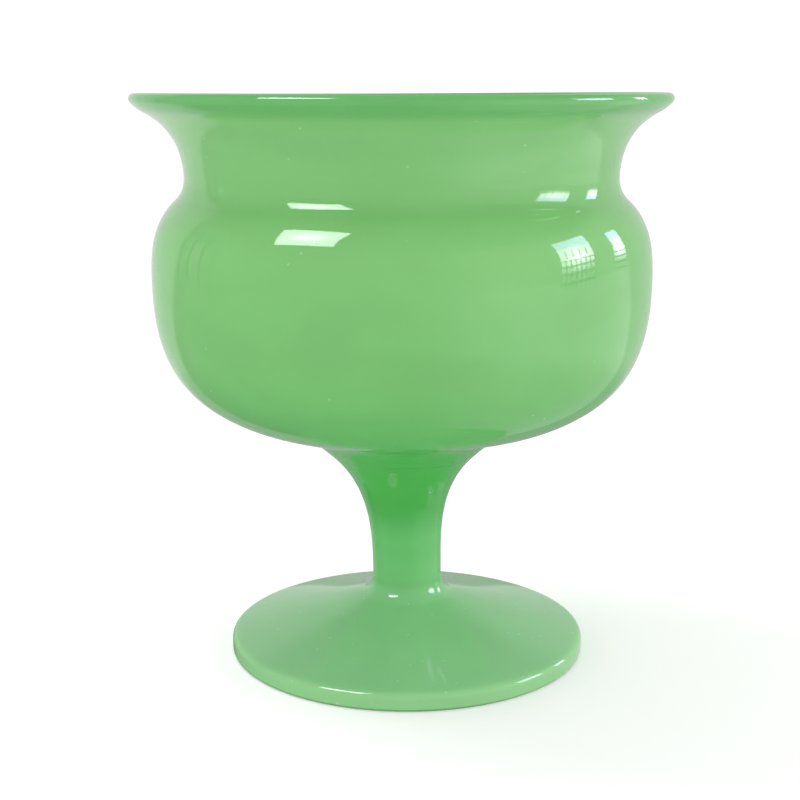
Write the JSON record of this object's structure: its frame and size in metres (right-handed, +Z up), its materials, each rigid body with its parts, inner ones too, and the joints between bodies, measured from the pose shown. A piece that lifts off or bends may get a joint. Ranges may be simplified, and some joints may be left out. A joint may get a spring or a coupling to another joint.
{
  "type": "footed glass vase",
  "caption": "Footed vase in milky jade-green blown glass: round belly, drawn-in neck and flared lip on a waisted stem and a broad round foot.",
  "frame": {"origin": "centre of the foot's resting ring, on the surface the vase stands on", "axes": "+Z up along the axis the glass is turned about; X and Y are equal"},
  "size_m": [0.15, 0.15, 0.1618],
  "materials": {
    "jade_glass": "fire-polished, milky, nearly opaque",
    "deep_jade_glass": "fire-polished, solid, deeper green",
    "pale_jade_glass": "fire-polished, milky, slightly greyer green"
  },
  "bodies": {
    "root": {"bowl": "jade_glass", "stem": "deep_jade_glass", "foot": "pale_jade_glass"}
  },
  "joints": []
}
